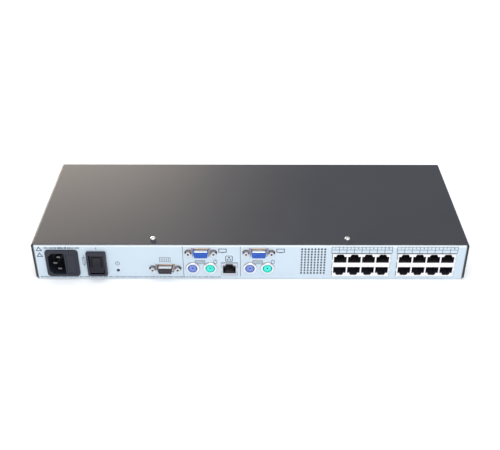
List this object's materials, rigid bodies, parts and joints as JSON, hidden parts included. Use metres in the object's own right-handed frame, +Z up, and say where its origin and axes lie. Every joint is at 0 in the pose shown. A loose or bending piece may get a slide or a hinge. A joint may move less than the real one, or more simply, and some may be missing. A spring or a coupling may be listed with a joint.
{
  "type": "kvm switch",
  "caption": "One-unit rack console switch: folded steel case, mains inlet with fuse drawer, rocker switch, serial, video, keyboard, mouse and modular server ports.",
  "frame": {"origin": "centre of the base's underside", "axes": "+X along the case, -Y out of the port face, +Z up"},
  "size_m": [0.4328, 0.1621, 0.0454],
  "materials": {
    "zinc_plate": "bright zinc-plated sheet steel",
    "cover_paint": "satin black powder coat",
    "panel_print": "satin silver-blue printed film",
    "front_print": "satin black film",
    "steel": "tin-plated steel",
    "nickel": "nickel plate",
    "inlet_plastic": "moulded slate-black thermoplastic",
    "switch_plastic": "moulded black thermoplastic",
    "lamp_lens": "dark tinted epoxy, unlit",
    "black_insulator": "moulded black",
    "blue_insulator": "moulded blue",
    "purple_insulator": "moulded lavender",
    "green_insulator": "moulded mint green",
    "gold": "gold-plated bronze",
    "laminate": "green solder mask",
    "tan_laminate": "bare tan laminate",
    "brass": "nickelled brass",
    "chip_epoxy": "moulded black epoxy",
    "black_anodised": "black anodised",
    "aluminium": "plain aluminium",
    "ferrite": "sintered ferrite",
    "winding_tape": "yellow polyester tape",
    "sleeve": "dark heat-shrunk sleeve",
    "copper_wire": "enamelled copper",
    "cream_plastic": "cream nylon",
    "brown_wire": "PVC insulation",
    "green_wire": "PVC insulation",
    "red_wire": "PVC insulation",
    "fuse_glass": "clear glass tube",
    "clear_plastic": "clear acrylic"
  },
  "bodies": {
    "case": {"base_pan": "zinc_plate", "top_cover": "cover_paint", "rear_overlay": "panel_print", "front_overlay": "front_print", "cover_screws_top": "steel", "cover_screws_side": "steel", "side_nuts": "steel", "inlet_housing": "inlet_plastic", "inlet_blades": "nickel", "fuse_contacts": "nickel", "switch_housing": "switch_plastic", "switch_terminals": "nickel", "power_lamp": "lamp_lens", "serial_port_shell": "steel", "serial_port_insert": "black_insulator", "video_port_a_shell": "steel", "video_port_a_insert": "blue_insulator", "video_port_b_shell": "steel", "video_port_b_insert": "blue_insulator", "port_jackscrews": "nickel", "round_port_shields": "steel", "keyboard_port_a_core": "purple_insulator", "keyboard_port_b_core": "purple_insulator", "mouse_port_a_core": "green_insulator", "mouse_port_b_core": "green_insulator", "remote_port_housing": "black_insulator", "remote_port_shield": "steel", "remote_port_contacts": "gold", "server_bank_one_housing": "black_insulator", "server_bank_one_shield": "steel", "server_bank_one_contacts": "gold", "server_bank_two_housing": "black_insulator", "server_bank_two_shield": "steel", "server_bank_two_contacts": "gold", "main_board": "laminate", "board_standoffs": "brass", "board_screws": "steel", "board_chips": "chip_epoxy", "heatsink": "black_anodised", "board_capacitors": "aluminium", "video_board": "laminate", "video_board_posts": "brass", "board_link": "black_insulator", "supply_board": "tan_laminate", "transformer_core": "ferrite", "transformer_winding": "winding_tape", "supply_capacitors": "sleeve", "supply_heatsinks": "aluminium", "mains_choke": "copper_wire", "wire_headers": "cream_plastic", "inlet_wires": "brown_wire", "switch_wires": "brown_wire", "earth_wire": "green_wire", "earth_stud": "brass", "supply_wires": "red_wire", "front_light_pipe": "clear_plastic"},
    "rocker": {"switch_rocker": "switch_plastic"},
    "fuse_carrier": {"fuse_drawer": "inlet_plastic", "fuse_tubes": "fuse_glass", "fuse_caps": "nickel"}
  },
  "joints": [
    {"name": "rocker_tilt", "type": "hinge", "parent": "case", "child": "rocker", "pos_m": [-0.1523, -0.07505, 0.0201], "axis": [1, 0, 0], "range_deg": [0, 22]},
    {"name": "fuse_drawer_slide", "type": "slide", "parent": "case", "child": "fuse_carrier", "axis": [0, -1, 0], "range_m": [0, 0.022]}
  ]
}
